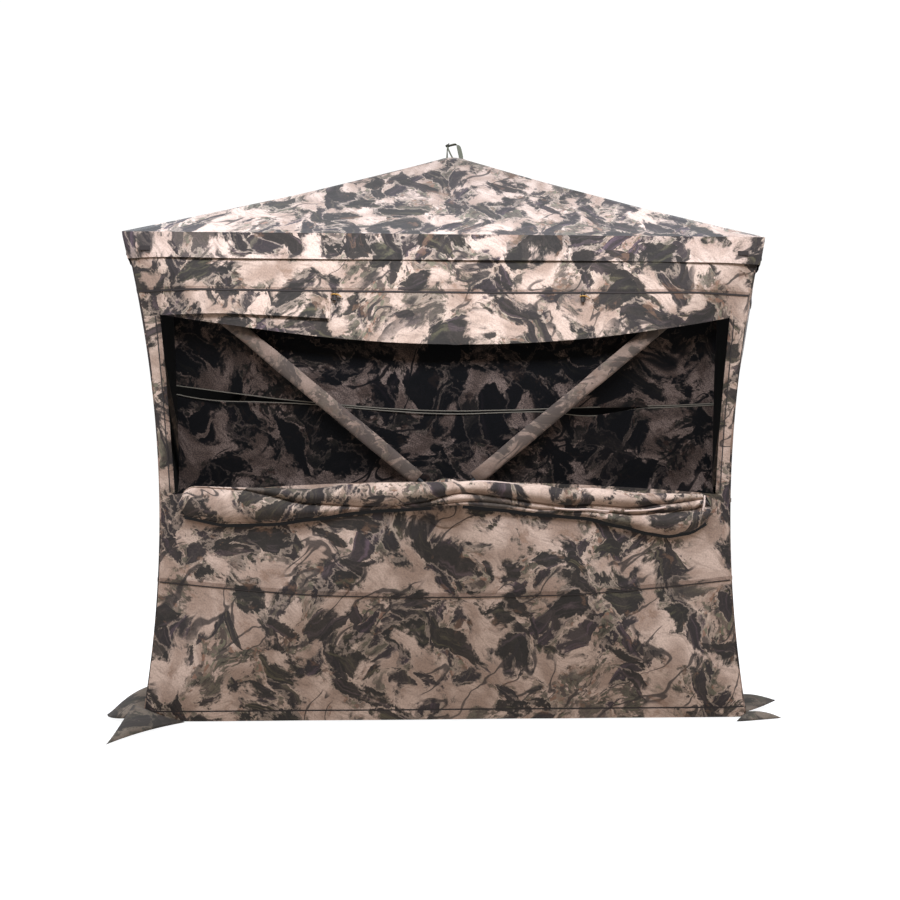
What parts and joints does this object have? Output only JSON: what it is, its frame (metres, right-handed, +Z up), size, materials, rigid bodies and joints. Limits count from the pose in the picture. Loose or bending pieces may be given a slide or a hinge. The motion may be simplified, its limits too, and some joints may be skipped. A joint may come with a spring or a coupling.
{
  "type": "pop up ground blind",
  "caption": "Square hub-style ground blind with a pitched roof, a long netted front window and a zipped back door, in camouflage cloth.",
  "frame": {"origin": "on the ground, in the middle of the floor plan", "axes": "+Z up; the front wall with the long window faces -Y; +X is to the right seen from the front"},
  "size_m": [1.8828, 1.95, 1.7562],
  "materials": {
    "shell_fabric": "camouflage print outside, black coating inside",
    "window_net": "dark printed net",
    "hub_plastic": "moulded black nylon",
    "fibreglass": "dark fibreglass rod",
    "webbing": "woven webbing",
    "zip_metal": "dark plated zip slider",
    "toggle_plastic": "dark barrel toggle"
  },
  "bodies": {
    "shell": {"roof_shell": "shell_fabric", "front_wall": "shell_fabric", "right_wall": "shell_fabric", "back_wall": "shell_fabric", "left_wall": "shell_fabric", "front_net_upper": "window_net", "front_net_lower": "window_net", "front_window_flap": "shell_fabric", "front_toggle_left": "toggle_plastic", "front_toggle_right": "toggle_plastic", "top_corner_pocket_fl": "webbing", "corner_foot_fl": "shell_fabric", "top_corner_pocket_fr": "webbing", "corner_foot_fr": "shell_fabric", "top_corner_pocket_br": "webbing", "corner_foot_br": "shell_fabric", "top_corner_pocket_bl": "webbing", "corner_foot_bl": "shell_fabric"},
    "roof_hub": {"roof_hub": "hub_plastic", "roof_hub_cap": "hub_plastic", "roof_pull_strap": "webbing"},
    "roof_rod_fl": {"roof_rod_fl": "fibreglass"},
    "roof_rod_fr": {"roof_rod_fr": "fibreglass"},
    "roof_rod_br": {"roof_rod_br": "fibreglass"},
    "roof_rod_bl": {"roof_rod_bl": "fibreglass"},
    "front_hub": {"front_hub": "hub_plastic", "front_hub_cap": "hub_plastic", "front_pull_strap": "webbing"},
    "front_rod_tl": {"front_rod_tl": "fibreglass"},
    "front_rod_tr": {"front_rod_tr": "fibreglass"},
    "front_rod_br": {"front_rod_br": "fibreglass"},
    "front_rod_bl": {"front_rod_bl": "fibreglass"},
    "right_hub": {"right_hub": "hub_plastic", "right_hub_cap": "hub_plastic", "right_pull_strap": "webbing"},
    "right_rod_tl": {"right_rod_tl": "fibreglass"},
    "right_rod_tr": {"right_rod_tr": "fibreglass"},
    "right_rod_br": {"right_rod_br": "fibreglass"},
    "right_rod_bl": {"right_rod_bl": "fibreglass"},
    "back_hub": {"back_hub": "hub_plastic", "back_hub_cap": "hub_plastic", "back_pull_strap": "webbing"},
    "back_rod_tl": {"back_rod_tl": "fibreglass"},
    "back_rod_tr": {"back_rod_tr": "fibreglass"},
    "back_rod_br": {"back_rod_br": "fibreglass"},
    "back_rod_bl": {"back_rod_bl": "fibreglass"},
    "left_hub": {"left_hub": "hub_plastic", "left_hub_cap": "hub_plastic", "left_pull_strap": "webbing"},
    "left_rod_tl": {"left_rod_tl": "fibreglass"},
    "left_rod_tr": {"left_rod_tr": "fibreglass"},
    "left_rod_br": {"left_rod_br": "fibreglass"},
    "left_rod_bl": {"left_rod_bl": "fibreglass"},
    "back_door_panel": {"back_door_panel": "shell_fabric"},
    "back_door": {"back_door": "shell_fabric"},
    "back_door_slider": {"back_door_slider": "zip_metal"}
  },
  "joints": [
    {"name": "roof_hub_push", "type": "slide", "parent": "shell", "child": "roof_hub", "axis": [0, 0, -1], "range_m": [0, 0.8274], "deforming": ["roof_shell"]},
    {"name": "roof_rod_fl_pin", "type": "hinge", "parent": "roof_hub", "child": "roof_rod_fl", "pos_m": [-0.02687, -0.02687, 1.6565], "axis": [-0.7071, 0.7071, 0], "range_deg": [0, 46.19]},
    {"name": "roof_rod_fr_pin", "type": "hinge", "parent": "roof_hub", "child": "roof_rod_fr", "pos_m": [0.02687, -0.02687, 1.6565], "axis": [-0.7071, -0.7071, 0], "range_deg": [0, 46.19]},
    {"name": "roof_rod_br_pin", "type": "hinge", "parent": "roof_hub", "child": "roof_rod_br", "pos_m": [0.02687, 0.02687, 1.6565], "axis": [0.7071, -0.7071, 0], "range_deg": [0, 46.19]},
    {"name": "roof_rod_bl_pin", "type": "hinge", "parent": "roof_hub", "child": "roof_rod_bl", "pos_m": [-0.02687, 0.02687, 1.6565], "axis": [0.7071, 0.7071, 0], "range_deg": [0, 46.19]},
    {"name": "front_hub_push", "type": "slide", "parent": "shell", "child": "front_hub", "axis": [0, 1, 0], "range_m": [0, 0.197], "deforming": ["front_wall", "front_net_upper", "front_net_lower"]},
    {"name": "front_rod_tl_pin", "type": "hinge", "parent": "front_hub", "child": "front_rod_tl", "pos_m": [-0.02918, -0.86674, 0.57734], "axis": [0.6406, 0, 0.7679], "range_deg": [0, 12.42]},
    {"name": "front_rod_tr_pin", "type": "hinge", "parent": "front_hub", "child": "front_rod_tr", "pos_m": [0.02918, -0.86674, 0.57734], "axis": [0.6406, 0, -0.7679], "range_deg": [0, 12.42]},
    {"name": "front_rod_br_pin", "type": "hinge", "parent": "front_hub", "child": "front_rod_br", "pos_m": [0.03085, -0.86674, 0.53081], "axis": [-0.5838, 0, -0.8119], "range_deg": [0, 13.61]},
    {"name": "front_rod_bl_pin", "type": "hinge", "parent": "front_hub", "child": "front_rod_bl", "pos_m": [-0.03085, -0.86674, 0.53081], "axis": [-0.5838, 0, 0.8119], "range_deg": [0, 13.61]},
    {"name": "right_hub_push", "type": "slide", "parent": "shell", "child": "right_hub", "axis": [-1, 0, 0], "range_m": [0, 0.197], "deforming": ["right_wall"]},
    {"name": "right_rod_tl_pin", "type": "hinge", "parent": "right_hub", "child": "right_rod_tl", "pos_m": [0.86674, -0.02918, 0.57734], "axis": [0, 0.6406, 0.7679], "range_deg": [0, 12.42]},
    {"name": "right_rod_tr_pin", "type": "hinge", "parent": "right_hub", "child": "right_rod_tr", "pos_m": [0.86674, 0.02918, 0.57734], "axis": [0, 0.6406, -0.7679], "range_deg": [0, 12.42]},
    {"name": "right_rod_br_pin", "type": "hinge", "parent": "right_hub", "child": "right_rod_br", "pos_m": [0.86674, 0.03085, 0.53081], "axis": [0, -0.5838, -0.8119], "range_deg": [0, 13.61]},
    {"name": "right_rod_bl_pin", "type": "hinge", "parent": "right_hub", "child": "right_rod_bl", "pos_m": [0.86674, -0.03085, 0.53081], "axis": [0, -0.5838, 0.8119], "range_deg": [0, 13.61]},
    {"name": "back_hub_push", "type": "slide", "parent": "shell", "child": "back_hub", "axis": [0, -1, 0], "range_m": [0, 0.197], "deforming": ["back_wall"]},
    {"name": "back_rod_tl_pin", "type": "hinge", "parent": "back_hub", "child": "back_rod_tl", "pos_m": [0.02918, 0.86674, 0.57734], "axis": [-0.6406, 0, 0.7679], "range_deg": [0, 12.42]},
    {"name": "back_rod_tr_pin", "type": "hinge", "parent": "back_hub", "child": "back_rod_tr", "pos_m": [-0.02918, 0.86674, 0.57734], "axis": [-0.6406, 0, -0.7679], "range_deg": [0, 12.42]},
    {"name": "back_rod_br_pin", "type": "hinge", "parent": "back_hub", "child": "back_rod_br", "pos_m": [-0.03085, 0.86674, 0.53081], "axis": [0.5838, 0, -0.8119], "range_deg": [0, 13.61]},
    {"name": "back_rod_bl_pin", "type": "hinge", "parent": "back_hub", "child": "back_rod_bl", "pos_m": [0.03085, 0.86674, 0.53081], "axis": [0.5838, 0, 0.8119], "range_deg": [0, 13.61]},
    {"name": "left_hub_push", "type": "slide", "parent": "shell", "child": "left_hub", "axis": [1, 0, 0], "range_m": [0, 0.197], "deforming": ["left_wall"]},
    {"name": "left_rod_tl_pin", "type": "hinge", "parent": "left_hub", "child": "left_rod_tl", "pos_m": [-0.86674, 0.02918, 0.57734], "axis": [0, -0.6406, 0.7679], "range_deg": [0, 12.42]},
    {"name": "left_rod_tr_pin", "type": "hinge", "parent": "left_hub", "child": "left_rod_tr", "pos_m": [-0.86674, -0.02918, 0.57734], "axis": [0, -0.6406, -0.7679], "range_deg": [0, 12.42]},
    {"name": "left_rod_br_pin", "type": "hinge", "parent": "left_hub", "child": "left_rod_br", "pos_m": [-0.86674, -0.03085, 0.53081], "axis": [0, 0.5838, -0.8119], "range_deg": [0, 13.61]},
    {"name": "left_rod_bl_pin", "type": "hinge", "parent": "left_hub", "child": "left_rod_bl", "pos_m": [-0.86674, 0.03085, 0.53081], "axis": [0, 0.5838, 0.8119], "range_deg": [0, 13.61]},
    {"name": "back_door_panel_fold", "type": "hinge", "parent": "shell", "child": "back_door_panel", "pos_m": [-0.75, 0.75, 0.6], "axis": [0, 0, -1], "range_deg": [0, 16.08]},
    {"name": "back_door_hinge", "type": "hinge", "parent": "back_door_panel", "child": "back_door", "pos_m": [-0.67191, 0.76272, 0.17636], "axis": [-0.0164, 0.0165, 0.9997], "range_deg": [0, 105]},
    {"name": "back_door_zip", "type": "slide", "parent": "back_door_panel", "child": "back_door_slider", "axis": [0.856, 0.1753, 0.4864], "range_m": [0, 0.376]}
  ],
  "couplings": [
    {"joint": "roof_rod_fl_pin", "follows": "roof_hub_push", "rad_per_m": 0.9638},
    {"joint": "roof_rod_fr_pin", "follows": "roof_hub_push", "rad_per_m": 0.9638},
    {"joint": "roof_rod_br_pin", "follows": "roof_hub_push", "rad_per_m": 0.9638},
    {"joint": "roof_rod_bl_pin", "follows": "roof_hub_push", "rad_per_m": 0.9638},
    {"joint": "front_rod_tl_pin", "follows": "front_hub_push", "rad_per_m": 1.0565},
    {"joint": "front_rod_tr_pin", "follows": "front_hub_push", "rad_per_m": 1.0565},
    {"joint": "front_rod_br_pin", "follows": "front_hub_push", "rad_per_m": 1.1616},
    {"joint": "front_rod_bl_pin", "follows": "front_hub_push", "rad_per_m": 1.1616},
    {"joint": "right_rod_tl_pin", "follows": "right_hub_push", "rad_per_m": 1.0565},
    {"joint": "right_rod_tr_pin", "follows": "right_hub_push", "rad_per_m": 1.0565},
    {"joint": "right_rod_br_pin", "follows": "right_hub_push", "rad_per_m": 1.1616},
    {"joint": "right_rod_bl_pin", "follows": "right_hub_push", "rad_per_m": 1.1616},
    {"joint": "back_rod_tl_pin", "follows": "back_hub_push", "rad_per_m": 1.0565},
    {"joint": "back_rod_tr_pin", "follows": "back_hub_push", "rad_per_m": 1.0565},
    {"joint": "back_rod_br_pin", "follows": "back_hub_push", "rad_per_m": 1.1616},
    {"joint": "back_rod_bl_pin", "follows": "back_hub_push", "rad_per_m": 1.1616},
    {"joint": "left_rod_tl_pin", "follows": "left_hub_push", "rad_per_m": 1.0565},
    {"joint": "left_rod_tr_pin", "follows": "left_hub_push", "rad_per_m": 1.0565},
    {"joint": "left_rod_br_pin", "follows": "left_hub_push", "rad_per_m": 1.1616},
    {"joint": "left_rod_bl_pin", "follows": "left_hub_push", "rad_per_m": 1.1616},
    {"joint": "back_door_panel_fold", "follows": "back_hub_push", "rad_per_m": 1.38}
  ]
}
